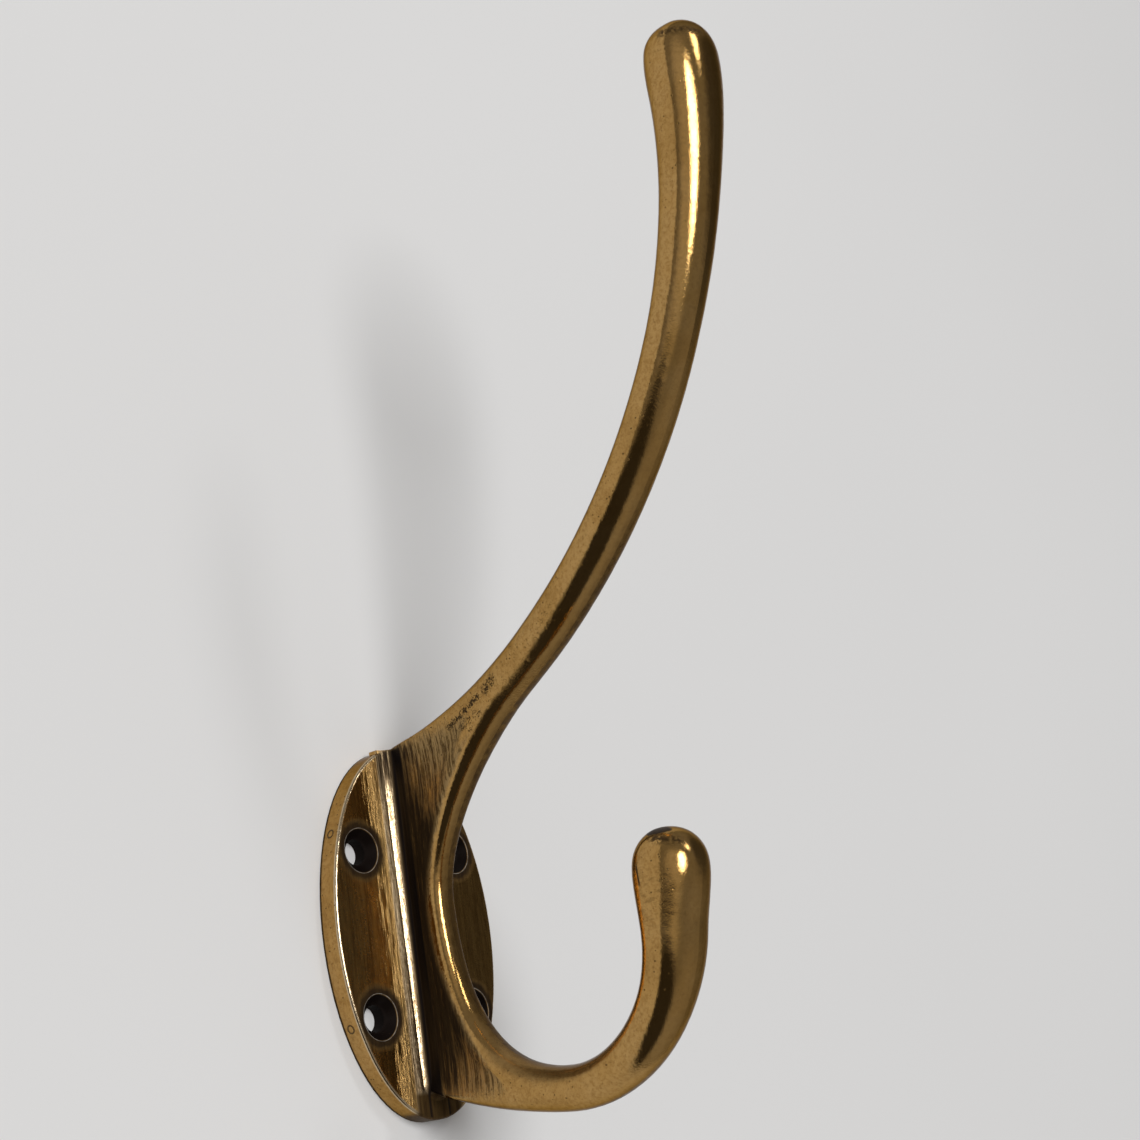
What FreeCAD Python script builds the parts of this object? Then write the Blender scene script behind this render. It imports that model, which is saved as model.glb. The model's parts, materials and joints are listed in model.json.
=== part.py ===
import FreeCAD, Part
import math
import os
import Sketcher
from FreeCAD import Vector

# Double robe hook: one brass casting, in millimetres.
# X runs across the hook, +Z is up, and +Y points into the wall.
# The origin is the middle of the screw hole pattern, on the plate's back face: the hook stands out towards -Y.

SIZES = (
    # oval back plate
    ("plate_height", 66.0),
    ("plate_width", 38.4),
    ("plate_lift", 0.5),
    ("plate_thickness", 4.1),
    ("plate_edge_radius", 0.5),
    # four countersunk screw holes
    ("hole_margin_side", 7.6),
    ("hole_margin_end", 18.55),
    ("hole_diameter", 4.6),
    ("countersink_diameter", 8.0),
    # upper prong: one long arc that comes upright at its tip
    ("arm_radius", 110.6),
    ("arm_root_reach", 35.3),
    ("arm_root_height", 39.3),
    ("arm_root_angle", 61.0),
    ("arm_tip_angle", 2.0),
    ("arm_tip_width", 14.7),
    ("arm_tip_depth", 11.8),
    ("arm_neck_angle", 14.0),
    ("arm_neck_width", 11.3),
    ("arm_neck_depth", 9.6),
    ("arm_middle_angle", 28.0),
    ("arm_middle_width", 9.3),
    ("arm_middle_depth", 8.4),
    ("arm_root_width", 8.8),
    ("arm_root_depth", 7.9),
    ("arm_dome_length", 6.7),
    ("arm_dome_lean", 1.2),
    # upright web between the prongs and the plate
    ("web_thickness", 4.2),
    ("web_reach", 12.4),
    ("web_foot_height", 28.2),
    ("web_edge_round", 1.2),
    ("waist_height", 3.7),
    ("shoulder_pull_top", 12.2),
    ("shoulder_pull_bottom", 12.6),
    ("heel_pull_top", 17.6),
    ("heel_pull_bottom", 16.8),
    ("bead_width", 5.2),
    ("bead_depth", 2.6),
    # lower prong: a J that ends upright
    ("limb_radius", 24.3),
    ("limb_reach", 36.3),
    ("limb_drop", 6.9),
    ("limb_heel_angle", 5.0),
    ("limb_tip_angle", 82.0),
    ("limb_straight", 9.8),
    ("heel_width", 9.0),
    ("heel_depth", 7.4),
    ("limb_middle_run", 23.3),
    ("limb_middle_width", 10.2),
    ("limb_middle_depth", 8.1),
    ("limb_neck_run", 36.4),
    ("limb_neck_width", 11.8),
    ("limb_neck_depth", 9.6),
    ("limb_tip_width", 12.4),
    ("limb_tip_depth", 12.4),
    ("limb_dome_length", 6.8),
    # hollow fillet that carries the web on the plate
    ("foot_radius_top", 3.0),
    ("foot_radius_bottom", 2.0),
)

# pull of the inner poles of a quarter turn, as a share of its half axes
QUARTER_PULL = 4 / 3 * (math.sqrt(2) - 1)
# the same pull for the web's bead, which has a flatter front than a round section
BEAD_PULL = 0.76
# degree of every free surface, both ways
DEGREE = 3
# length of a round section's nose or tail, as a share of the section's depth
ROUND_CAP = 0.44
# poles of the web's flank: share of its length, and how much of the bead's extra width is left there
FLANK_DISH = ((0.0, 1.0), (0.06, 1.0), (0.14, 0.4), (0.3, 0.0), (0.65, 0.0), (1.0, 0.0))
# turns, in degrees, of the sections that close a prong's end, and the power that makes the end blunter
DOME_TURNS = (20, 38, 55, 70, 82, 89)
DOME_POWER = 0.93
# number of steps along the upper prong, the web and the lower prong
ARM_STEPS = 14
WEB_STEPS = 22
LIMB_STEPS = 16
# number of equal pieces that the long faces are divided into, from tip to tip
FACE_PIECES = 9
# shares of the web's length between which its bead, its thinnest part and its edges keep one size
BEAD_SPAN = (0.45, 0.62)
THIN_SPAN = (0.3, 0.72)
NOSE_SPAN = (0.4, 0.7)
EDGE_SPAN = (0.25, 0.75)
# pull of the loop that the web makes behind the plate's face before it is cut off, in plate thicknesses
OVERRUN = 4
# how far the fillet is sunk into the web and the plate, as a share of its radius
FOOT_SINK = 0.06
# angle of a countersunk screw's head
COUNTERSINK_ANGLE = 90
# two heights in the plate closer than this are the same, in millimetres
NEAR = 1e-4

doc = FreeCAD.newDocument("double_robe_hook")
sheet = doc.addObject("Spreadsheet::Sheet", "Sizes")
for row, (alias, value) in enumerate(SIZES, start=1):
    sheet.set("A%d" % row, alias)
    sheet.set("B%d" % row, str(value))
    sheet.setAlias("B%d" % row, alias)
doc.recompute()


def size(alias):
    """Reads one driving dimension from the sheet."""
    return float(sheet.get(alias))


# Oval plate


def origin_plane(body, role):
    """One of the body's own three base planes."""
    return next(f for f in body.Origin.OriginFeatures if f.Role == role)


def plate_outline(body):
    """Upright ellipse, its middle a little above the middle of the screw holes."""
    sketch = body.newObject("Sketcher::SketchObject", "plate_outline")
    sketch.AttachmentSupport = [(origin_plane(body, "XZ_Plane"), "")]
    sketch.MapMode = "FlatFace"
    lift = size("plate_lift")
    middle = Vector(0, lift, 0)
    crown = Vector(0, lift + size("plate_height") / 2, 0)
    side = Vector(size("plate_width") / 2, lift, 0)
    ellipse = sketch.addGeometry(Part.Ellipse(crown, side, middle), False)
    sketch.exposeInternalGeometry(ellipse)
    long_axis = ellipse + 1
    short_axis = ellipse + 2
    sketch.addConstraint(Sketcher.Constraint("PointOnObject", ellipse, 3, -2))
    sketch.addConstraint(Sketcher.Constraint("Vertical", long_axis))
    rules = (
        (Sketcher.Constraint("DistanceY", -1, 1, ellipse, 3, lift), "Sizes.plate_lift"),
        (Sketcher.Constraint("Distance", long_axis, size("plate_height")), "Sizes.plate_height"),
        (Sketcher.Constraint("Distance", short_axis, size("plate_width")), "Sizes.plate_width"),
    )
    for constraint, rule in rules:
        index = sketch.addConstraint(constraint)
        sketch.setExpression("Constraints[%d]" % index, rule)
    return sketch


def hole_centres(body):
    """The four screw holes, as circles on the plate's front face."""
    sketch = body.newObject("Sketcher::SketchObject", "hole_centres")
    sketch.AttachmentSupport = [(origin_plane(body, "XZ_Plane"), "")]
    sketch.MapMode = "FlatFace"
    sketch.setExpression(".AttachmentOffset.Base.z", "Sizes.plate_thickness")
    reach_x = size("plate_width") / 2 - size("hole_margin_side")
    reach_z = size("plate_height") / 2 - size("hole_margin_end")
    for across in (-1, 1):
        for up in (-1, 1):
            centre = Vector(across * reach_x, up * reach_z, 0)
            circle = sketch.addGeometry(Part.Circle(centre, Vector(0, 0, 1), size("hole_diameter") / 2), False)
            radius = sketch.addConstraint(Sketcher.Constraint("Radius", circle, size("hole_diameter") / 2))
            sketch.setExpression("Constraints[%d]" % radius, "Sizes.hole_diameter / 2")
            ends = (-1, 1, circle, 3) if across > 0 else (circle, 3, -1, 1)
            place = sketch.addConstraint(Sketcher.Constraint("DistanceX", *ends, reach_x))
            sketch.setExpression("Constraints[%d]" % place, "Sizes.plate_width / 2 - Sizes.hole_margin_side")
            ends = (-1, 1, circle, 3) if up > 0 else (circle, 3, -1, 1)
            place = sketch.addConstraint(Sketcher.Constraint("DistanceY", *ends, reach_z))
            sketch.setExpression("Constraints[%d]" % place, "Sizes.plate_height / 2 - Sizes.hole_margin_end")
    return sketch


def make_plate():
    """Oval plate with a rounded front edge and four countersunk holes."""
    body = doc.addObject("PartDesign::Body", "plate")
    pad = body.newObject("PartDesign::Pad", "plate_pad")
    pad.Profile = plate_outline(body)
    pad.setExpression("Length", "Sizes.plate_thickness")
    doc.recompute()
    face_y = -size("plate_thickness")
    rim = []
    for number, edge in enumerate(pad.Shape.Edges, start=1):
        box = edge.BoundBox
        if abs(box.YMin - face_y) < NEAR and abs(box.YMax - face_y) < NEAR:
            rim.append("Edge%d" % number)
    rounding = body.newObject("PartDesign::Fillet", "plate_edge")
    rounding.Base = (pad, rim)
    rounding.setExpression("Radius", "Sizes.plate_edge_radius")
    doc.recompute()
    solid_volume = rounding.Shape.Volume
    centres = hole_centres(body)
    doc.recompute()
    hole = body.newObject("PartDesign::Hole", "screw_holes")
    hole.Profile = centres
    doc.recompute()
    hole.DepthType = "ThroughAll"
    hole.Threaded = False
    hole.HoleCutType = "Countersink"
    hole.HoleCutCustomValues = True
    hole.setExpression("Diameter", "Sizes.hole_diameter")
    hole.setExpression("HoleCutDiameter", "Sizes.countersink_diameter")
    hole.HoleCutCountersinkAngle = COUNTERSINK_ANGLE
    doc.recompute()
    body.Tip = hole
    doc.recompute()
    if hole.Shape.Volume >= solid_volume:
        raise RuntimeError("the screw holes cut nothing")
    return body


# Prongs and web


def law(stops, place):
    """Smooth value between (place, value) stops, level at each stop where the values turn."""
    places = [stop[0] for stop in stops]
    values = [stop[1] for stop in stops]
    steps = [b - a for a, b in zip(places, places[1:])]
    rises = [(b - a) / step for a, b, step in zip(values, values[1:], steps)]
    slopes = [0.0]
    for before, after in zip(rises, rises[1:]):
        slopes.append(0.0 if before * after <= 0 else 2 * before * after / (before + after))
    slopes.append(0.0)
    index = max(i for i in range(len(steps)) if i == 0 or places[i] <= place)
    share = (place - places[index]) / steps[index]
    rest = 1 - share
    return (
        values[index] * (1 + 2 * share) * rest ** 2
        + values[index + 1] * (3 - 2 * share) * share ** 2
        + slopes[index] * steps[index] * share * rest ** 2
        - slopes[index + 1] * steps[index] * rest * share ** 2
    )


def section(front, rear, front_half, rear_half, front_cap, rear_cap, pull=QUARTER_PULL):
    """One side of a section, in the plane of X and the line from front to rear, as the poles of three curves.

    A rounded nose, a flank that may dish in behind it, and a rounded tail, joined without a corner.
    """
    across = Vector(1, 0, 0)
    along = (rear - front).normalize()
    nose_end = front + along * front_cap + across * front_half
    tail_start = rear - along * rear_cap + across * rear_half
    flank_length = (rear - front).Length - front_cap - rear_cap
    nose = [
        front,
        front + across * (front_half * pull),
        nose_end - along * (front_cap * pull),
        nose_end,
    ]
    flank = []
    for share, dish in FLANK_DISH:
        half = rear_half + (front_half - rear_half) * dish
        flank.append(front + along * (front_cap + flank_length * share) + across * half)
    tail = [
        tail_start,
        tail_start + along * (rear_cap * QUARTER_PULL),
        rear + across * (rear_half * QUARTER_PULL),
        rear,
    ]
    return nose, flank, tail


def dome(front, rear, half_width, outward, length, lean=0.0):
    """Sections that close a prong's end like half an ellipsoid, from its rim to its tip.

    The tip stands ahead of the middle by the lean.
    """
    middle = (front + rear) * 0.5
    reach = (rear - front) * 0.5
    sections = []
    forward = (front - rear).normalize() * lean
    for turn in DOME_TURNS:
        shrink = math.cos(math.radians(turn)) ** DOME_POWER
        rise = math.sin(math.radians(turn)) ** DOME_POWER
        centre = middle + outward * (length * rise) + forward * rise ** 2
        cap = ROUND_CAP * 2 * reach.Length * shrink
        half = half_width * shrink
        sections.append(section(centre - reach * shrink, centre + reach * shrink, half, half, cap, cap))
    return sections


def side_point(y, z):
    """A point of the side outline, in the plane of symmetry."""
    return Vector(0, y, z)


def prong_section(centre, rearward, width, depth):
    """Rounded section of a free prong."""
    cap = ROUND_CAP * depth
    reach = rearward * (depth / 2)
    return section(centre - reach, centre + reach, width / 2, width / 2, cap, cap)


def turned(angle):
    """Direction square to the upper prong and towards the wall, where it leans by the angle from upright."""
    return side_point(math.cos(math.radians(angle)), math.sin(math.radians(angle)))


def arm_frame(angle):
    """Centre and rearward direction of the upper prong, by its lean from upright."""
    root = side_point(-size("arm_root_reach"), size("arm_root_height"))
    bend = root + turned(size("arm_root_angle")) * size("arm_radius")
    return bend - turned(angle) * size("arm_radius"), turned(angle)


def limb_frame(angle):
    """Centre and rearward direction of the lower prong's bend, by the angle past its lowest point."""
    turn = math.radians(angle)
    rearward = side_point(-math.sin(turn), -math.cos(turn))
    centre = side_point(-size("limb_reach"), -size("limb_drop"))
    return centre + rearward * size("limb_radius"), rearward


def tangent_arc(start, heading, end):
    """Arc from start, leaving along heading, to end."""
    chord = end - start
    normal = side_point(-heading.z, heading.y)
    radius = chord.dot(chord) / (2 * chord.dot(normal))
    centre = start + normal * radius
    middle = (start + end) * 0.5 - centre
    middle.normalize()
    return Part.Arc(start, centre + middle * abs(radius), end).toShape()


def sweep(start, start_pull, end_pull, end):
    """Free curve between two points, each with the pull that sets its direction and fullness there."""
    curve = Part.BezierCurve()
    curve.setPoles([start, start + start_pull, end + end_pull, end])
    return curve.toShape()


def arm_sections():
    """Upper prong from its tip down to the shoulder of the web."""
    tip = size("arm_tip_angle")
    root = size("arm_root_angle")
    stops = ("arm_tip", "arm_neck", "arm_middle", "arm_root")
    widths = [(size(stop + "_angle"), size(stop + "_width")) for stop in stops]
    depths = [(size(stop + "_angle"), size(stop + "_depth")) for stop in stops]
    wires = []
    for number in range(ARM_STEPS + 1):
        angle = tip + (root - tip) * number / ARM_STEPS
        centre, rearward = arm_frame(angle)
        wires.append(prong_section(centre, rearward, law(widths, angle), law(depths, angle)))
    centre, rearward = arm_frame(tip)
    reach = rearward * (size("arm_tip_depth") / 2)
    outward = side_point(-rearward.z, rearward.y)
    cap = dome(centre - reach, centre + reach, size("arm_tip_width") / 2, outward, size("arm_dome_length"),
               size("arm_dome_lean"))
    return cap[::-1] + wires


def web_outlines():
    """Front and rear outline of the web, each as one wire from the upper prong to the lower one."""
    centre, rearward = arm_frame(size("arm_root_angle"))
    reach = rearward * (size("arm_root_depth") / 2)
    heading = side_point(rearward.z, -rearward.y)
    arm_front = centre - reach
    arm_rear = centre + reach

    limb_centre, limb_rearward = limb_frame(-size("limb_heel_angle"))
    reach = limb_rearward * (size("heel_depth") / 2)
    limb_front = limb_centre - reach
    limb_rear = limb_centre + reach
    limb_heading = side_point(-limb_rearward.z, limb_rearward.y)

    # the front outline stands upright at the waist, where the web is shallowest
    waist = side_point(-size("web_reach"), size("waist_height"))
    upright = side_point(0, 1)
    front = Part.Wire([
        sweep(arm_front, heading * size("shoulder_pull_top"), upright * size("shoulder_pull_bottom"), waist),
        sweep(waist, upright * -size("heel_pull_top"), limb_heading * size("heel_pull_bottom"), limb_front),
    ])

    # the rear outline runs on in a smooth loop behind the plate's face, where it is cut off later
    plate_top = side_point(-size("plate_thickness"), size("plate_lift") + size("plate_height") / 2)
    plate_foot = side_point(-size("plate_thickness"), -size("web_foot_height"))
    top_arc = tangent_arc(arm_rear, heading, plate_top)
    foot_arc = tangent_arc(limb_rear, limb_heading, plate_foot)
    overrun = OVERRUN * size("plate_thickness")
    top_run = top_arc.tangentAt(top_arc.LastParameter) * overrun
    foot_run = foot_arc.tangentAt(foot_arc.LastParameter) * overrun
    rear = Part.Wire([top_arc, sweep(plate_top, top_run, foot_run, plate_foot), foot_arc])
    return front, rear


def waisted(first, middle, last, span):
    """Stops for a size that goes from first to middle, stays there over the span, and goes on to last."""
    return (0, first), (span[0], middle), (span[1], middle), (1, last)


def web_sections():
    """Web from the foot of the upper prong to the heel of the lower one."""
    front, rear = web_outlines()
    fronts = front.discretize(WEB_STEPS + 1)
    rears = rear.discretize(WEB_STEPS + 1)
    root = size("arm_root_width") / 2
    heel = size("heel_width") / 2
    root_cap = ROUND_CAP * size("arm_root_depth")
    heel_cap = ROUND_CAP * size("heel_depth")
    front_halves = waisted(root, size("bead_width") / 2, heel, BEAD_SPAN)
    rear_halves = waisted(root, size("web_thickness") / 2, heel, THIN_SPAN)
    front_caps = waisted(root_cap, size("bead_depth"), heel_cap, NOSE_SPAN)
    rear_caps = waisted(root_cap, size("web_edge_round"), heel_cap, EDGE_SPAN)
    pulls = waisted(QUARTER_PULL, BEAD_PULL, QUARTER_PULL, BEAD_SPAN)
    wires = []
    for number in range(1, WEB_STEPS):
        place = number / WEB_STEPS
        wires.append(section(fronts[number], rears[number], law(front_halves, place), law(rear_halves, place),
                             law(front_caps, place), law(rear_caps, place), law(pulls, place)))
    return wires


def limb_sections():
    """Lower prong from the heel round to its tip."""
    first = -size("limb_heel_angle")
    last = size("limb_tip_angle")
    arc_length = math.radians(last - first) * size("limb_radius")
    length = arc_length + size("limb_straight")
    middle = size("limb_middle_run")
    neck = size("limb_neck_run")
    stops = ((0, "heel"), (middle, "limb_middle"), (neck, "limb_neck"), (length, "limb_tip"))
    widths = [(run, size(stop + "_width")) for run, stop in stops]
    depths = [(run, size(stop + "_depth")) for run, stop in stops]
    end, end_rearward = limb_frame(last)
    outward = side_point(end_rearward.z, -end_rearward.y)
    wires = []
    for number in range(LIMB_STEPS + 1):
        run = length * number / LIMB_STEPS
        if run <= arc_length:
            centre, rearward = limb_frame(first + math.degrees(run / size("limb_radius")))
        else:
            centre, rearward = end + outward * (run - arc_length), end_rearward
        wires.append(prong_section(centre, rearward, law(widths, run), law(depths, run)))
    reach = end_rearward * (size("limb_tip_depth") / 2)
    cap = dome(centre - reach, centre + reach, size("limb_tip_width") / 2, outward, size("limb_dome_length"))
    return wires + cap


def span_knots(poles):
    """Multiplicities and knots of a clamped curve with evenly spaced knots."""
    spans = len(poles) - DEGREE
    return [DEGREE + 1] + [1] * (spans - 1) + [DEGREE + 1], list(range(spans + 1))


def skin(runs, places):
    """Surface over a row of curves, each given by its poles, that passes through all of them."""
    columns = []
    for column in zip(*runs):
        curve = Part.BSplineCurve()
        curve.interpolate(Points=list(column), Parameters=places)
        columns.append(curve)
    multiplicities, knots = span_knots(columns)
    surface = Part.BSplineSurface()
    surface.buildFromPolesMultsKnots(
        [curve.getPoles() for curve in columns],
        multiplicities,
        columns[0].getMultiplicities(),
        knots,
        columns[0].getKnots(),
        False,
        False,
        DEGREE,
        DEGREE,
    )
    return surface


def outline_edge(poles):
    """Edge of a section's curve."""
    curve = Part.BSplineCurve()
    curve.buildFromPolesMultsKnots(poles, *span_knots(poles), False, DEGREE)
    return curve.toShape()


def make_prongs():
    """Both prongs and the web, skinned over one row of sections from tip to tip."""
    sections = arm_sections() + web_sections() + limb_sections()
    places = [0.0]
    for before, after in zip(sections, sections[1:]):
        steps = [(a[0] - b[0]).Length for a, b in zip(before, after)]
        places.append(places[-1] + sum(steps) / len(steps))
    middle = Vector(0, 0, 0)
    normal = Vector(1, 0, 0)
    cuts = [places[-1] * number / FACE_PIECES for number in range(FACE_PIECES + 1)]
    faces = []
    for runs in zip(*sections):
        surface = skin(runs, places)
        for start, end in zip(cuts, cuts[1:]):
            piece = surface.copy()
            piece.segment(*surface.bounds()[:2], start, end)
            right = piece.toShape()
            faces.append(right)
            faces.append(right.mirror(middle, normal))
    for end in (sections[0], sections[-1]):
        right = [outline_edge(poles) for poles in end]
        left = [edge.mirror(middle, normal) for edge in right]
        faces.append(Part.Face(Part.Wire(Part.__sortEdges__(right + left))))
    shell = Part.Shell(faces)
    shell.sewShape()
    feature = doc.addObject("Part::Feature", "prongs_and_web")
    feature.Shape = Part.Solid(shell)
    return feature


def make_foot():
    """Hollow fillet on both sides of the web and round its lower end."""
    thin = size("web_thickness") / 2
    face = size("plate_thickness")
    top = size("plate_lift") + size("plate_height") / 2 - size("plate_edge_radius")
    bottom = thin - size("web_foot_height")

    def half_profile(radius, height):
        """Closed outline of one side of the fillet, from the middle plane outwards."""
        sunk = FOOT_SINK * radius
        inner = thin - sunk
        outer = inner + radius
        low = sunk - face
        high = low - radius
        corner = Vector(outer, high, height)
        bow = corner + Vector(-radius, radius, 0) * math.sqrt(0.5)
        start = Vector(inner, high, height)
        end = Vector(outer, low, height)
        root = Vector(outer, -face / 2, height)
        middle = Vector(0, -face / 2, height)
        crest = Vector(0, high, height)
        return Part.Wire([
            Part.Arc(start, bow, end).toShape(),
            Part.makeLine(end, root),
            Part.makeLine(root, middle),
            Part.makeLine(middle, crest),
            Part.makeLine(crest, start),
        ])

    upper = half_profile(size("foot_radius_top"), top)
    lower = half_profile(size("foot_radius_bottom"), bottom)
    right = Part.makeLoft([upper, lower], True, True)
    left = right.mirror(Vector(0, 0, 0), Vector(1, 0, 0))
    end = Part.Face(lower).revolve(Vector(0, 0, bottom), Vector(0, 1, 0), 180)
    feature = doc.addObject("Part::Feature", "foot")
    feature.Shape = right.fuse([left, end])
    return feature


prongs = make_prongs()
plate = make_plate()
foot = make_foot()

behind = doc.addObject("Part::Box", "behind_plate")
behind.setExpression("Length", "2 * Sizes.plate_width")
behind.setExpression("Width", "%d * Sizes.plate_thickness" % OVERRUN)
behind.setExpression("Height", "2 * Sizes.plate_height")
behind.setExpression(".Placement.Base.x", "-Sizes.plate_width")
behind.setExpression(".Placement.Base.y", "-Sizes.plate_thickness / 2")
behind.setExpression(".Placement.Base.z", "-Sizes.plate_height")
trimmed = doc.addObject("Part::Cut", "trimmed_prongs")
trimmed.Base = prongs
trimmed.Tool = behind
casting = doc.addObject("Part::MultiFuse", "hook_casting")
casting.Shapes = [plate, trimmed, foot]
casting.Refine = True
casting.Label = "hook_casting"
doc.recompute()

for item in doc.Objects:
    if "Invalid" in item.State or "Error" in item.State:
        raise RuntimeError("%s did not build: %s" % (item.Name, item.State))
if casting.Shape.isNull() or not casting.Shape.isValid():
    raise RuntimeError("the casting is not a valid shape")
if len(casting.Shape.Solids) != 1:
    raise RuntimeError("the casting is not one solid")
os.makedirs("parts", exist_ok=True)
casting.Shape.exportStep("parts/%s.step" % casting.Label)
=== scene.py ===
import json
import math
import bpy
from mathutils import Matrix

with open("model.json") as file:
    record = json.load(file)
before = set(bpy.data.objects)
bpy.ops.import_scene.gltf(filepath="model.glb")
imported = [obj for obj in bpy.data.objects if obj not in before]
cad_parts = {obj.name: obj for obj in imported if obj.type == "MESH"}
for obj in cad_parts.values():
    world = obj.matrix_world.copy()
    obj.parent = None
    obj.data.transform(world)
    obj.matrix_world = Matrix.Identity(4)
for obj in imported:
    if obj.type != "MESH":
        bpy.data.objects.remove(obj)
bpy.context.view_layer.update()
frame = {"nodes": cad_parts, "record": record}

from types import SimpleNamespace

import bpy
from mathutils import Matrix, Vector

NODE = "hook_casting"
hook = frame["nodes"][NODE]
MM = 0.001

# Screw holes, from the frame's record
HOLES = next(mount["dims"] for mount in frame["record"]["mounts"] if mount["name"] == "screw_holes")
HOLE_X = HOLES["spacing_x_mm"] / 2
HOLE_Z = HOLES["spacing_y_mm"] / 2
HOLE_RADIUS = HOLES["hole_r_mm"]

# Places on the hook in millimetres, in the frame's own axes. Side is the distance from the middle plane,
# depth is along Y and height along Z. A pair is where a mark begins and where it is full.

PLATE_FRONT = -4.1
PLATE_EDGE_BACK = -3.6
PLATE_BACK_DEPTH = (-0.12, -0.04)
SINK_RADIUS = 4.0
# Width and depths of the painted glint, a grey line round each hole's lip
RING_WIDTH = 0.09
RING_DEPTH = (-3.0, -3.3)
SOOT_RADIUS = (6.8, 5.3)
FACE_SIDE = (3.2, 4.6)
# Sides and depths of the plate's rounded rim where a painted highlight lies
EDGE_SIDE = (4.5, 5.5)
EDGE_DEPTH = (-3.5, -3.66)
# Depths of the painted contact shadow on the plate's outer wall by the white wall
CONTACT_SHADOW_DEPTH = (-0.38, -0.12)
# Band of worn brass beside the web, lightened as a painted sheen of the lamp near the fillet
RUBBED_SHEEN_SIDE = (10.6, 4.2)
RUBBED_SHEEN_LIMIT = (10.8, 8.0)
RUBBED_SHEEN_HEIGHT = (10.0, 28.0)
BROWN_RIGHT = (3.0, 6.0)

# Two round casting marks on the left of the plate's outer wall
MARK_DEPTH = -1.75
MARK_HEIGHTS = (17.8, -15.9)
MARK_RADIUS = 0.68
MARK_LINE = 0.26
MARK_LEFT = (-5.0, -8.0)

WEB_MIDDLE = 1.0
WEB_TOP = (37.5, 34.0)
WEB_BOTTOM = (-29.0, -24.0)
WEB_SIDE = (4.0, 3.6)
BEAD_BACK = -10.7
HOLLOW_FROM_BEAD = (0.9, 2.0)
HEART_HEIGHT = -1.0
HEART_REACH = (23.0, 14.5)
HEART_FROM_BEAD = (1.2, 3.0)

FILLET_DEPTH = (-8.0, -7.2)
FILLET_TOP = (33.5, 32.5)
FILLET_SIDE = (5.6, 5.0)
# The crease next to the web is dark patination with painted shade
CREASE_SIDE = 2.3
CREASE_REACH = 0.85
HEAD_HEIGHT = (25.0, 33.0)
# The toe under the web's foot is dark patination with painted shade
TOE_HEIGHT = (-27.0, -28.4)
TOE_DEPTH = (-8.5, -6.0)
TOE_SIDE = (6.5, 4.6)

# Rows of pits beside the shoulder: two ends in (y, z), half width, and strength
PIT_ROWS = (
    ((-20.6, 32.6), (-29.8, 36.4), 1.0, 1.0),
    ((-23.0, 31.8), (-29.5, 33.6), 2.0, 0.5),
    ((-31.0, 36.6), (-34.0, 39.0), 1.7, 0.8),
)
SHOULDER_BOTTOM = (29.0, 31.0)
SHOULDER_TOP = (50.0, 44.0)

# Smudges on the upper prong's crown and on the lower prong's cap, where the level leans by a slope
CROWN_HEIGHT = 134.6
CROWN_REACH = 1.5
CROWN_DEPTH = (-92.0, -94.0)
CROWN_LEFT = (0.0, -2.0)
CAP_LEVEL = 22.9
CAP_SLOPE = -0.3
CAP_REACH = 1.3
CAP_DEPTH = (-61.0, -63.0)
CAP_LEFT = (-1.8, -2.8)

WORN_DEPTH = (-12.0, -16.0)
# The browner right side is patination with painted shade on faces turned away from the window lamp
BROWNER_DEPTH = (-8.5, -9.5)
BROWNER_HEIGHT = (82.0, 46.0)
BROWNER_LEVEL = (-64.0, -50.0)
BEND_HEIGHT = (-12.0, -17.0)
BEND_BACK = (-16.0, -21.0)
BEND_FRONT = (-58.0, -50.0)

# File marks, lump and slit of the lower prong; the slit has two ends in (y, z), and half width
FILED_HEIGHT = -4.5
FILED_REACH = 8.5
FILED_BACK = (-57.0, -59.0)
FILED_FRONT = (-67.0, -65.0)
LUMP = (-2.95, -62.6, 5.5)
LUMP_RADIUS = (2.5, 2.0)
SLIT = ((-59.5, -2.6), (-59.3, 0.4), 0.35)
SLIT_LEFT = (-5.0, -5.6)


def tone(red, green, blue):
    return (red, green, blue, 1.0)


# Colours of the brass
GOLD = tone(0.485, 0.295, 0.104)
DEEP_GOLD = tone(0.465, 0.272, 0.086)
MOTTLED_GOLD = tone(0.285, 0.148, 0.040)
SPECK = tone(0.14, 0.072, 0.022)
# Worn brass lightened as a painted sheen of the lamp
RUBBED_SHEEN_GOLD = tone(0.62, 0.40, 0.155)
# Paler gold that paints whiter highlights on the fillet and the plate's rim
HIGHLIGHT_PALE_GOLD = tone(0.66, 0.54, 0.37)
DULL_GOLD = tone(0.38, 0.27, 0.13)
DARK_BROWN = tone(0.125, 0.066, 0.020)
LIGHT_BROWN = tone(0.235, 0.138, 0.043)
BLACK_FILM = tone(0.009, 0.006, 0.005)
# Grey of the painted glints round the holes' lips
GLINT_GREY = tone(0.46, 0.43, 0.39)
GLANCING_TINT = tone(0.45, 0.41, 0.38)


# Node helpers


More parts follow.
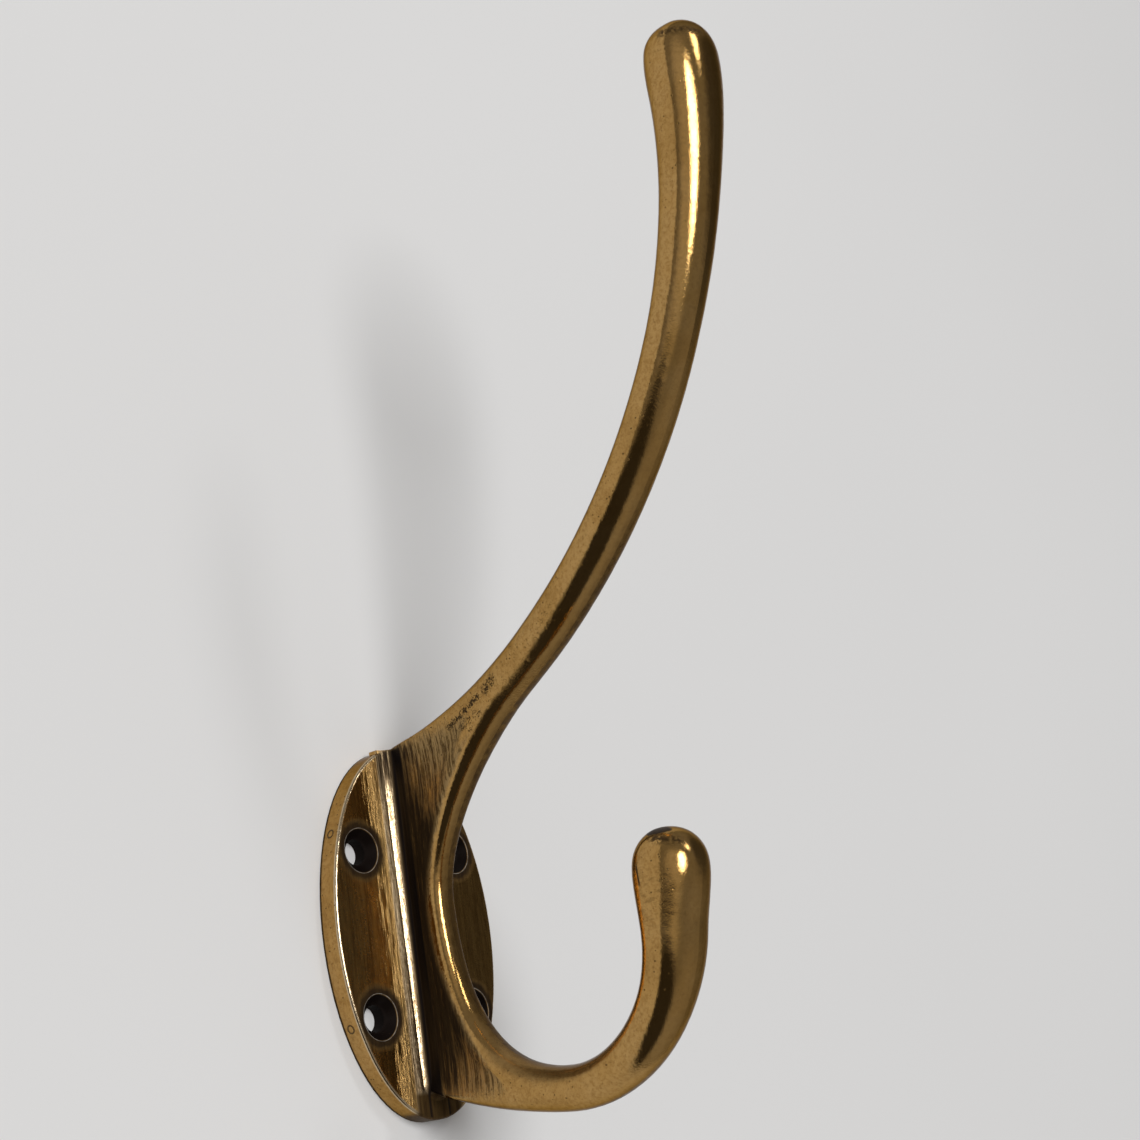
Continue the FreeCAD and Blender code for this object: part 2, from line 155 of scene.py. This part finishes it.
class Tree:
    """Short calls for a node tree's nodes; every call gives the output socket of the node it makes."""

    def __init__(self, tree):
        self.nodes = tree.nodes
        self.links = tree.links
        self.nodes.clear()

    def node(self, kind, **settings):
        """The node itself, for the kinds that have no call of their own."""
        made = self.nodes.new(kind)
        for name, value in settings.items():
            setattr(made, name, value)
        return made

    def feed(self, socket, value):
        if isinstance(value, bpy.types.NodeSocket):
            self.links.new(value, socket)
        else:
            socket.default_value = value

    def math(self, operation, first, second=0.0, clamp=False):
        made = self.node("ShaderNodeMath", operation=operation, use_clamp=clamp)
        self.feed(made.inputs[0], first)
        self.feed(made.inputs[1], second)
        return made.outputs[0]

    def chain(self, operation, first, rest):
        for value in rest:
            first = self.math(operation, first, value)
        return first

    def add(self, first, *rest):
        return self.chain("ADD", first, rest)

    def times(self, first, *rest):
        return self.chain("MULTIPLY", first, rest)

    def most(self, first, *rest):
        return self.chain("MAXIMUM", first, rest)

    def less(self, first, second):
        return self.math("SUBTRACT", first, second)

    def flip(self, value):
        return self.less(1.0, value)

    def size(self, value):
        return self.math("ABSOLUTE", value)

    def swing(self, noise, strength):
        """Noise about its middle, times strength."""
        return self.times(self.less(noise, 0.5), strength)

    def span(self, value, low, high, start=0.0, end=1.0):
        """Smooth step of value between low and high, from start to end."""
        made = self.node("ShaderNodeMapRange", interpolation_type="SMOOTHSTEP", clamp=True)
        for socket, entry in zip(made.inputs, (value, low, high, start, end)):
            self.feed(socket, entry)
        return made.outputs[0]

    def near(self, value, place, reach):
        """1 where value is at place, falling to 0 at reach from it."""
        return self.span(self.size(self.less(value, place)), 0.0, reach, 1.0, 0.0)

    def length(self, *parts):
        squares = [self.times(part, part) for part in parts]
        return self.math("SQRT", self.add(*squares))

    def join(self, x, y, z):
        made = self.node("ShaderNodeCombineXYZ")
        for socket, value in zip(made.inputs, (x, y, z)):
            self.feed(socket, value)
        return made.outputs[0]

    def split(self, vector):
        made = self.node("ShaderNodeSeparateXYZ")
        self.feed(made.inputs[0], vector)
        return made.outputs

    def noise(self, place, scale, detail=2.0, roughness=0.5, distortion=0.0):
        made = self.node("ShaderNodeTexNoise")
        self.feed(made.inputs["Vector"], place)
        made.inputs["Scale"].default_value = scale
        made.inputs["Detail"].default_value = detail
        made.inputs["Roughness"].default_value = roughness
        made.inputs["Distortion"].default_value = distortion
        return made.outputs["Fac"]

    def cells(self, place, scale):
        """Distance to the nearest of many scattered points."""
        made = self.node("ShaderNodeTexVoronoi", feature="F1")
        self.feed(made.inputs["Vector"], place)
        made.inputs["Scale"].default_value = scale
        return made.outputs["Distance"]

    def blend(self, share, first, second):
        """Colour between first and second."""
        made = self.node("ShaderNodeMix", data_type="RGBA")
        self.feed(made.inputs[0], share)
        self.feed(made.inputs[6], first)
        self.feed(made.inputs[7], second)
        return made.outputs[2]


# Masks of the brass: each is 1 where a mark is and 0 elsewhere
# In these functions t is the node tree, s is what skin gives, and m holds every part's masks


def skin(t):
    """Place on the casting in millimetres, the way its surface faces, and the noises that the marks share."""
    scaled = t.node("ShaderNodeVectorMath", operation="SCALE")
    t.feed(scaled.inputs[0], t.node("ShaderNodeTexCoord").outputs["Object"])
    scaled.inputs["Scale"].default_value = 1 / MM
    mm = scaled.outputs[0]
    x, y, z = t.split(mm)
    nx, ny, nz = t.split(t.node("ShaderNodeNewGeometry").outputs["Normal"])

    def upright(share):
        """Place with its height cut to a share, which draws noise out into upright lines."""
        return t.join(x, y, t.times(z, share))

    brushed = upright(0.075)
    return SimpleNamespace(
        mm=mm, x=x, y=y, z=z, nx=nx, ny=ny, nz=nz,
        side=t.size(x),
        lean=t.size(nx),
        strokes=t.noise(brushed, 1.35, 4.0, 0.7),
        fine_strokes=t.noise(brushed, 3.0, 3.0, 0.6),
        scratches=t.noise(upright(0.045), 2.6, 5.0, 0.75),
        streaks=t.noise(upright(0.035), 1.9, 4.0, 0.72),
        clouds=t.noise(mm, 0.13, 3.0, 0.55),
        waves=t.noise(mm, 0.3, 2.0, 0.5),
        blotches=t.noise(mm, 0.55, 4.0, 0.65),
        mottle=t.noise(mm, 1.25, 5.0, 0.75, 0.3),
        crumbs=t.noise(mm, 1.6, 4.0, 0.75, 1.2),
        speckle=t.noise(mm, 2.4, 3.0, 0.65),
        grain=t.noise(mm, 4.5, 2.0, 0.6),
    )


def plate_masks(t, s):
    """The plate's front face, its screw holes, its rounded rim, its outer wall and its back, with a painted
    highlight on the rim, painted glints round the holes' lips, a painted sheen beside the web and a painted
    contact shadow on the outer wall by the white wall.
    """
    ahead = t.span(s.y, PLATE_FRONT - 0.4, PLATE_FRONT - 0.15)
    level = t.times(ahead, t.span(s.y, PLATE_FRONT + 0.3, PLATE_FRONT + 0.15))
    face = t.times(level, t.span(s.ny, -0.88, -0.985), t.span(s.side, *FACE_SIDE))
    back = t.times(t.span(s.y, *PLATE_BACK_DEPTH), t.span(s.ny, 0.6, 0.9))
    rear = t.times(back, t.span(t.add(s.clouds, t.times(s.blotches, 0.6)), 0.55, 0.95, 0.45, 0.85))

    hole = t.length(t.less(s.side, HOLE_X), t.less(t.size(s.z), HOLE_Z))
    inside = t.span(s.y, PLATE_FRONT - 0.2, PLATE_FRONT - 0.05)
    sink = t.times(t.span(hole, SINK_RADIUS - 0.02, SINK_RADIUS - 0.16), inside, t.flip(back))
    bore = t.times(sink, t.span(hole, HOLE_RADIUS + 0.4, HOLE_RADIUS + 0.2))
    broken = t.span(t.noise(s.mm, 0.8, 2.0), 0.35, 0.6, 0.35, 0.85)
    # Painted glint: a grey line round each hole's lip, broken here and there
    ring = t.times(t.near(hole, SINK_RADIUS, RING_WIDTH), inside, t.span(s.y, *RING_DEPTH), broken)
    soot = t.times(t.span(t.add(hole, t.times(s.blotches, 1.4)), *SOOT_RADIUS), face)

    clear_of_hole = t.span(hole, SINK_RADIUS + 0.1, SINK_RADIUS + 0.3)
    outer = t.times(t.span(s.y, PLATE_EDGE_BACK - 0.15, PLATE_EDGE_BACK), clear_of_hole, t.flip(back))
    # Painted highlight along the plate's rounded rim
    edge_depth = t.times(t.span(s.y, *EDGE_DEPTH), t.span(s.y, PLATE_FRONT - 0.1, PLATE_FRONT - 0.02))
    edge_place = t.times(t.span(hole, SINK_RADIUS + 0.2, SINK_RADIUS + 0.4), t.span(s.side, *EDGE_SIDE))
    edge = t.times(t.span(s.ny, -0.995, -0.95), edge_depth, edge_place)
    # Painted contact shadow on the outer wall, next to the white wall
    seam = t.times(outer, t.span(t.add(s.y, t.times(s.blotches, 0.3)), *CONTACT_SHADOW_DEPTH))
    circles = [
        t.near(t.length(t.less(s.y, MARK_DEPTH), t.times(t.less(s.z, height), 1.05)), MARK_RADIUS, MARK_LINE)
        for height in MARK_HEIGHTS
    ]
    marks = t.times(t.most(*circles), t.span(s.x, *MARK_LEFT), outer)

    # Worn brass beside the web, lightened as a painted sheen of the lamp, brightest near the fillet
    rub_and_sheen = t.add(
        t.span(s.side, *RUBBED_SHEEN_SIDE),
        t.swing(s.strokes, -1.9),
        t.swing(s.scratches, -1.8),
        t.swing(s.fine_strokes, -1.9),
        t.times(t.span(t.size(s.z), *RUBBED_SHEEN_HEIGHT), 0.3),
    )
    rubbed_and_sheen = t.times(face, t.span(rub_and_sheen, 0.34, 1.12), t.span(s.side, *RUBBED_SHEEN_LIMIT))
    brown = t.add(0.86, t.swing(s.fine_strokes, 1.1), t.span(s.x, *BROWN_RIGHT, 0.0, -0.1))
    dark = t.times(face, t.math("SUBTRACT", brown, rubbed_and_sheen, clamp=True))
    return SimpleNamespace(
        face=face, back=back, rear=rear, sink=sink, bore=bore, ring=ring, soot=soot,
        edge=edge, seam=seam, marks=marks, rubbed_and_sheen=rubbed_and_sheen, dark=dark,
    )


def web_masks(t, s):
    """The web's hollow sides, their dark heart, and the upright lines over them."""
    over = t.less(s.z, WEB_MIDDLE)
    bow = t.span(over, -0.5, 0.5, 0.0145, 0.0185)
    from_bead = t.add(t.less(s.y, BEAD_BACK), t.times(over, over, bow))
    flat = t.times(
        t.span(s.lean, 0.82, 0.93),
        t.span(s.y, PLATE_FRONT + 0.2, PLATE_FRONT - 0.1),
        t.span(s.side, *WEB_SIDE),
    )
    hollow = t.times(
        flat,
        t.span(t.add(from_bead, t.times(s.blotches, 1.4)), *HOLLOW_FROM_BEAD),
        t.span(t.add(s.z, t.times(s.strokes, 5.0)), *WEB_TOP),
        t.span(t.add(s.z, t.times(s.strokes, 6.0)), *WEB_BOTTOM),
    )
    from_heart = t.add(t.size(t.less(s.z, HEART_HEIGHT)), t.times(from_bead, -0.72), t.swing(s.strokes, 22.0))
    behind_bead = t.span(t.add(from_bead, t.times(s.strokes, 2.0)), *HEART_FROM_BEAD)
    deep = t.times(hollow, t.span(from_heart, *HEART_REACH), behind_bead)
    lines = t.times(hollow, t.span(s.streaks, 0.475, 0.535), t.span(s.mottle, 0.34, 0.52, 0.5, 1.0))
    wisps = t.times(deep, t.span(s.fine_strokes, 0.56, 0.70, 0.0, 0.5))
    return SimpleNamespace(hollow=hollow, deep=deep, lines=lines, wisps=wisps)


def fillet_masks(t, s, back):
    """The fillet beside the web: black next to the web, where the crease holds patination and painted shade,
    and at its top, with a dark toe below the web that is patination and painted shade.
    """
    corner = t.times(
        t.span(s.y, *FILLET_DEPTH),
        t.span(s.y, PLATE_FRONT + 0.2, PLATE_FRONT - 0.02),
        t.span(s.z, *FILLET_TOP),
        t.span(s.side, *FILLET_SIDE),
    )
    # Black patination with painted shade in the crease next to the web
    crease = t.times(corner, t.near(s.side, CREASE_SIDE, CREASE_REACH))
    top = t.span(t.add(s.z, t.times(s.strokes, 6.0)), *HEAD_HEIGHT)
    head = t.times(corner, top, t.span(s.scratches, 0.36, 0.58, 0.45, 1.0))
    ragged = t.times(corner, t.span(t.add(t.times(s.scratches, 0.6), t.times(s.mottle, 0.4)), 0.47, 0.56))
    # Dark patination with painted shade under the web's foot
    toe = t.times(t.span(s.z, *TOE_HEIGHT), t.span(s.y, *TOE_DEPTH), t.span(s.side, *TOE_SIDE), t.flip(back))
    return SimpleNamespace(corner=corner, crease=crease, head=head, ragged=ragged, toe=toe)


def beside(t, s, first, last, wide):
    """1 along the line between two points of the side view, falling to 0 at the given distance."""
    run = (last[0] - first[0], last[1] - first[1])
    long = math.hypot(*run)
    run = (run[0] / long, run[1] / long)
    dy, dz = t.less(s.y, first[0]), t.less(s.z, first[1])
    along = t.add(t.times(dy, run[0]), t.times(dz, run[1]))
    off = t.add(t.times(dy, -run[1]), t.times(dz, run[0]))
    between = t.times(t.span(along, -0.6, 0.4), t.span(along, long + 0.6, long - 0.4))
    return t.times(t.near(off, 0.0, wide), between)


def pit_masks(t, s, flank):
    """Broken rows of pits beside the shoulder, hairlines round them, and a few small pits elsewhere."""
    rows = [t.times(beside(t, s, first, last, wide), share) for first, last, wide, share in PIT_ROWS]
    row = t.most(*rows)
    crumbled = t.span(t.add(s.crumbs, t.times(row, 0.19)), 0.635, 0.662)
    row_pits = t.times(crumbled, t.span(row, 0.02, 0.15), flank)
    bends = t.noise(s.mm, 0.62, 2.0, 0.5, 0.5)
    shoulder = t.times(t.span(s.z, *SHOULDER_BOTTOM), t.span(s.z, *SHOULDER_TOP))
    hairs = t.times(t.near(bends, 0.5, 0.012), t.span(s.crumbs, 0.5, 0.6), shoulder, flank)
    dots = t.span(t.cells(s.mm, 0.85), 0.17, 0.09)
    few = t.times(dots, t.span(s.clouds, 0.46, 0.58), t.span(s.lean, 0.6, 0.85))
    every = t.most(row_pits, t.times(hairs, 0.6), t.times(few, 0.6))
    return SimpleNamespace(rows=row_pits, hairs=hairs, few=few, every=every)


def prong_masks(t, s, flank):
    """The prongs' dark spots, worn fronts, browner right side, bend, file marks, lump and slit; the browner
    right side is patination with painted shade on faces turned away from the window lamp.
    """
    crown_level = t.near(s.z, CROWN_HEIGHT, CROWN_REACH)
    crown = t.times(crown_level, t.span(s.y, *CROWN_DEPTH), t.span(s.x, *CROWN_LEFT))
    cap_level = t.near(t.add(s.z, t.times(s.y, CAP_SLOPE)), CAP_LEVEL, CAP_REACH)
    cap = t.times(cap_level, t.span(s.y, *CAP_DEPTH), t.span(s.x, *CAP_LEFT))
    spots = t.times(t.most(crown, cap), t.span(s.mottle, 0.41, 0.53))

    worn = t.times(t.span(s.ny, -0.1, -0.6), t.span(s.y, *WORN_DEPTH))
    # Brown patination with painted shade on the faces turned right, away from the window lamp
    right = t.times(t.span(s.nx, -0.32, 0.12), t.span(s.y, *BROWNER_DEPTH), t.span(s.z, *BROWNER_HEIGHT))
    fading = t.span(t.add(s.y, t.times(s.z, 0.25)), *BROWNER_LEVEL, 0.4, 1.0)
    brown_and_shade_right = t.times(right, fading, t.span(s.blotches, 0.2, 0.6, 0.6, 1.0))
    bend = t.times(t.span(s.z, *BEND_HEIGHT), t.span(s.y, *BEND_BACK), t.span(s.y, *BEND_FRONT))
    cup = t.times(t.span(s.nz, 0.1, 0.6), bend)

    across = t.noise(t.join(s.x, t.times(s.y, 0.2), s.z), 2.0, 3.0, 0.6)
    filed_level = t.near(s.z, FILED_HEIGHT, FILED_REACH)
    filed_place = t.times(filed_level, t.span(s.y, *FILED_BACK), t.span(s.y, *FILED_FRONT))
    filed = t.times(t.span(across, 0.5, 0.62), filed_place, flank)
    off = [t.less(value, middle) for value, middle in zip((s.x, s.y, s.z), LUMP)]
    from_lump = t.length(off[0], t.times(off[1], 0.7), t.times(off[2], 1.6))
    lump = t.span(t.add(from_lump, t.times(s.blotches, 1.2)), *LUMP_RADIUS)
    slit = t.times(beside(t, s, *SLIT), t.span(s.x, *SLIT_LEFT))
    return SimpleNamespace(spots=spots, worn=worn, brown_and_shade_right=brown_and_shade_right, cup=cup, filed=filed, lump=lump, slit=slit)


# Antique brass


def patina_and_shade_share(t, s, m):
    """0 on polished gold, 1 on dark brown; the brown is patination, and painted shade in the fillet's crease
    and toe, on the plate's outer wall by the white wall and on the prongs' right side.
    """
    share = t.most(
        m.plate.dark,
        m.plate.soot,
        m.plate.seam,
        m.plate.rear,
        m.web.deep,
        t.times(m.web.lines, 0.95),
        t.times(m.web.hollow, 0.3),
        m.fillet.crease,
        m.fillet.head,
        m.fillet.toe,
        t.times(m.fillet.ragged, 0.75),
        t.times(m.pits.every, 0.95),
        m.prong.spots,
        m.prong.lump,
        m.prong.slit,
        t.times(m.prong.brown_and_shade_right, 0.95),
        t.times(m.prong.filed, 0.5),
        t.times(t.span(s.blotches, 0.56, 0.8), 0.34),
        t.times(t.span(s.clouds, 0.5, 0.75), 0.2),
    )
    return t.math("MINIMUM", share, 1.0)


def film_and_shade_share(t, m):
    """1 where a black layer covers the brown; in the fillet's crease and toe, on the plate's outer wall by
    the white wall and on the prongs' right side it is painted shade as well.
    """
    share = t.most(
        m.plate.sink,
        t.times(m.plate.soot, 0.85),
        t.times(m.plate.seam, 0.6),
        t.times(m.plate.marks, 0.85),
        t.times(m.web.deep, t.less(0.85, m.web.wisps)),
        t.times(m.web.lines, 0.46),
        m.fillet.crease,
        t.times(m.fillet.head, 0.95),
        t.times(m.fillet.toe, 0.6),
        t.times(m.pits.every, 0.75),
        t.times(m.prong.spots, 0.7),
        t.times(m.prong.lump, 0.85),
        t.times(m.prong.slit, 0.9),
        t.times(m.prong.brown_and_shade_right, m.prong.brown_and_shade_right, 0.5),
        t.times(m.prong.cup, 0.45),
    )
    return t.math("MINIMUM", share, 1.0)


def brass_colour(t, s, m, patina_and_shade, film_and_shade):
    """Gold with its mottle, a painted sheen beside the web and paler gold for painted highlights on the
    fillet and the plate's rim, then brown patination with painted shade, a black layer, and painted grey
    glints round the holes' lips.
    """
    clean = t.flip(t.times(m.prong.worn, 0.6))
    # Painted highlights: paler gold on the plate's rim and over the fillet
    painted_highlight = t.most(m.plate.edge, t.times(m.fillet.corner, 0.9))
    gold = t.blend(t.span(s.clouds, 0.35, 0.65), GOLD, DEEP_GOLD)
    gold = t.blend(t.times(t.span(s.mottle, 0.40, 0.66, 0.0, 0.62), clean), gold, MOTTLED_GOLD)
    gold = t.blend(t.times(t.span(s.speckle, 0.57, 0.72, 0.0, 0.55), clean), gold, SPECK)
    # Painted sheen over the worn band beside the web
    gold = t.blend(t.times(m.plate.rubbed_and_sheen, 0.75), gold, RUBBED_SHEEN_GOLD)
    gold = t.blend(t.times(painted_highlight, 0.8), gold, HIGHLIGHT_PALE_GOLD)
    gold = t.blend(t.times(m.web.hollow, 0.75), gold, DULL_GOLD)
    brown = t.blend(t.span(s.strokes, 0.35, 0.65), DARK_BROWN, LIGHT_BROWN)
    colour = t.blend(patina_and_shade, gold, brown)
    colour = t.blend(film_and_shade, colour, BLACK_FILM)
    # Painted glints round the holes' lips
    return t.blend(m.plate.ring, colour, GLINT_GREY)


def brass_roughness(t, s, m, patina_and_shade, film_and_shade):
    return t.add(
        0.095,
        t.times(patina_and_shade, 0.14),
        t.times(film_and_shade, 0.2),
        t.times(m.plate.face, 0.08),
        t.times(m.plate.rubbed_and_sheen, 0.20),
        t.times(m.plate.bore, 0.45),
        t.times(m.web.hollow, 0.22),
        t.times(m.fillet.corner, 0.10),
        t.times(m.prong.worn, -0.02),
        t.swing(s.speckle, 0.12),
        t.swing(s.blotches, 0.08),
    )


def brass_relief(t, s, m):
    """Height of the skin in millimetres."""
    rubbed_and_sheen, corner = m.plate.rubbed_and_sheen, m.fillet.corner
    brushed = t.times(t.most(m.plate.face, m.web.hollow, corner), 0.03)
    return t.add(
        t.times(s.grain, 0.009),
        t.times(s.speckle, 0.016),
        t.times(s.mottle, 0.012),
        t.times(s.waves, 0.03),
        t.times(s.fine_strokes, t.add(brushed, t.times(rubbed_and_sheen, 0.05), t.times(corner, 0.05))),
        t.times(s.strokes, t.add(brushed, t.times(rubbed_and_sheen, 0.12), t.times(corner, 0.06))),
        t.times(t.most(m.pits.rows, m.pits.hairs), -0.10),
        t.times(m.pits.few, -0.03),
        t.times(m.plate.marks, -0.08),
        t.times(m.prong.filed, -0.012),
    )


def brass_material():
    """Polished gold where hands and cloth wear it, brown patination in the hollows, black countersinks,
    painted highlights, glints and sheen, and painted shade in the crease, under the web's foot, by the white
    wall and on the prongs' right side.
    """
    material = bpy.data.materials.new("antique_brass_worn_and_painted_light")
    material.use_nodes = True
    t = Tree(material.node_tree)
    s = skin(t)
    flank = t.span(s.lean, 0.7, 0.88)
    plate = plate_masks(t, s)
    m = SimpleNamespace(
        plate=plate,
        web=web_masks(t, s),
        fillet=fillet_masks(t, s, plate.back),
        pits=pit_masks(t, s, flank),
        prong=prong_masks(t, s, flank),
    )
    patina_and_shade = patina_and_shade_share(t, s, m)
    film_and_shade = film_and_shade_share(t, m)
    # The painted glints are made less metallic so they stay light
    metal = t.flip(t.most(t.times(film_and_shade, 0.75), t.times(plate.ring, 0.85), plate.bore))

    bump = t.node("ShaderNodeBump")
    bump.inputs["Strength"].default_value = 1.0
    bump.inputs["Distance"].default_value = MM
    t.feed(bump.inputs["Height"], brass_relief(t, s, m))

    shader = t.node("ShaderNodeBsdfPrincipled")
    t.feed(shader.inputs["Base Color"], brass_colour(t, s, m, patina_and_shade, film_and_shade))
    t.feed(shader.inputs["Metallic"], metal)
    t.feed(shader.inputs["Roughness"], brass_roughness(t, s, m, patina_and_shade, film_and_shade))
    t.feed(shader.inputs["Normal"], bump.outputs[0])
    shader.inputs["Specular Tint"].default_value = GLANCING_TINT
    shader.inputs["Specular IOR Level"].default_value = 0.15
    t.feed(t.node("ShaderNodeOutputMaterial").inputs[0], shader.outputs[0])
    return material


hook.material_slots[0].material = brass_material()


# White wall behind the hook

WALL_HALF = 6.0
WALL_GAP = 0.00005
SHORT_RAY = 0.0005
WALL_WHITE = tone(0.80, 0.80, 0.80)
WALL_WHITER = tone(0.82, 0.82, 0.82)


def wall_material():
    """White paint. It is clear from behind, and to the short rays that leave the plate's back."""
    material = bpy.data.materials.new("white_wall")
    material.use_nodes = True
    t = Tree(material.node_tree)
    shade = t.span(t.noise(t.node("ShaderNodeTexCoord").outputs["Object"], 3.0, 2.0), 0.3, 0.7)
    paint = t.node("ShaderNodeBsdfPrincipled")
    t.feed(paint.inputs["Base Color"], t.blend(shade, WALL_WHITE, WALL_WHITER))
    paint.inputs["Roughness"].default_value = 0.8
    paint.inputs["Specular IOR Level"].default_value = 0.2
    clear = t.node("ShaderNodeBsdfTransparent")
    behind = t.node("ShaderNodeNewGeometry").outputs["Backfacing"]
    short = t.math("LESS_THAN", t.node("ShaderNodeLightPath").outputs["Ray Length"], SHORT_RAY)
    pick = t.node("ShaderNodeMixShader")
    t.feed(pick.inputs[0], t.most(behind, short))
    t.feed(pick.inputs[1], paint.outputs[0])
    t.feed(pick.inputs[2], clear.outputs[0])
    t.feed(t.node("ShaderNodeOutputMaterial").inputs[0], pick.outputs[0])
    return material


def make_wall():
    mesh = bpy.data.meshes.new("wall")
    corners = [(x * WALL_HALF, 0, z * WALL_HALF) for x, z in ((-1, -1), (1, -1), (1, 1), (-1, 1))]
    mesh.from_pydata(corners, [], [(0, 1, 2, 3)])
    mesh.materials.append(wall_material())
    made = bpy.data.objects.new("wall", mesh)
    made.location.y = WALL_GAP
    bpy.context.scene.collection.objects.link(made)
    return made


wall = make_wall()


# Directions are in degrees: azimuth 0 is straight in front of the wall and counts to the left


def direction(azimuth, elevation):
    turn = math.radians(azimuth)
    rise = math.radians(elevation)
    return Vector((-math.sin(turn) * math.cos(rise), -math.cos(turn) * math.cos(rise), math.sin(rise)))


# Camera at the photograph's viewing angle: the direction it looks from, its roll, and its place in metres

LOOK_AZIMUTH = 51.955
LOOK_ELEVATION = -17.008
ROLL = -9.003
STAND = Vector((-0.233252, -0.233475, -0.037157))
FOCAL_PIXELS = 1800
IMAGE_PIXELS = 1140
SENSOR = 36.0


def make_camera():
    data = bpy.data.cameras.new("camera")
    data.sensor_width = SENSOR
    data.lens = FOCAL_PIXELS / IMAGE_PIXELS * SENSOR
    data.clip_start = 0.01
    camera = bpy.data.objects.new("camera", data)
    bpy.context.scene.collection.objects.link(camera)
    ahead = -direction(LOOK_AZIMUTH, LOOK_ELEVATION)
    level = ahead.to_track_quat("-Z", "Y").to_matrix().to_4x4()
    camera.matrix_world = Matrix.Translation(STAND) @ level @ Matrix.Rotation(math.radians(ROLL), 4, "Z")
    bpy.context.scene.camera = camera


make_camera()


# Light

LIT_POINT = Vector((0, -0.05, 0.05))
ROOM_GREY = tone(0.255, 0.25, 0.245)

# Patches of the room, each over the ones before it: azimuth, elevation, inner and outer radius, colour
ROOM_PATCHES = (
    (-50, -48, 10, 45, tone(0.35, 0.34, 0.33)),
    (38, 5, 8, 42, tone(0.56, 0.54, 0.52)),
    (-56, 18, 12, 34, tone(0.075, 0.072, 0.07)),
    (72, -50, 34, 46, tone(0.045, 0.042, 0.04)),
)


def softbox(name, azimuth, elevation, distance, width, height, radiance):
    """Oval lamp that faces the hook."""
    data = bpy.data.lights.new(name, "AREA")
    data.shape = "ELLIPSE"
    data.size = width
    data.size_y = height
    data.energy = radiance * math.pi * (math.pi / 4 * width * height)
    lamp = bpy.data.objects.new(name, data)
    bpy.context.scene.collection.objects.link(lamp)
    out = direction(azimuth, elevation)
    lamp.location = LIT_POINT + out * distance
    lamp.rotation_mode = "QUATERNION"
    lamp.rotation_quaternion = (-out).to_track_quat("-Z", "Y")


def room_light():
    """Plain grey room: lighter on the left and low on the right, darker on the right and low on the left."""
    world = bpy.data.worlds.new("room")
    bpy.context.scene.world = world
    world.use_nodes = True
    t = Tree(world.node_tree)
    way = t.node("ShaderNodeTexCoord").outputs["Generated"]
    shade = ROOM_GREY
    for azimuth, elevation, inner, outer, colour in ROOM_PATCHES:
        facing = t.node("ShaderNodeVectorMath", operation="DOT_PRODUCT")
        t.feed(facing.inputs[0], way)
        facing.inputs[1].default_value = direction(azimuth, elevation)
        share = t.span(facing.outputs["Value"], math.cos(math.radians(outer)), math.cos(math.radians(inner)))
        shade = t.blend(share, shade, colour)
    back = t.node("ShaderNodeBackground")
    t.feed(back.inputs[0], shade)
    t.feed(t.node("ShaderNodeOutputWorld").inputs[0], back.outputs[0])


softbox("window", 14, 8, 3.0, 1.2, 1.58, 10.6)
softbox("high_lamp", -18, 34, 3.0, 0.36, 1.0, 9.5)
room_light()

bpy.context.scene.view_settings.view_transform = "Standard"
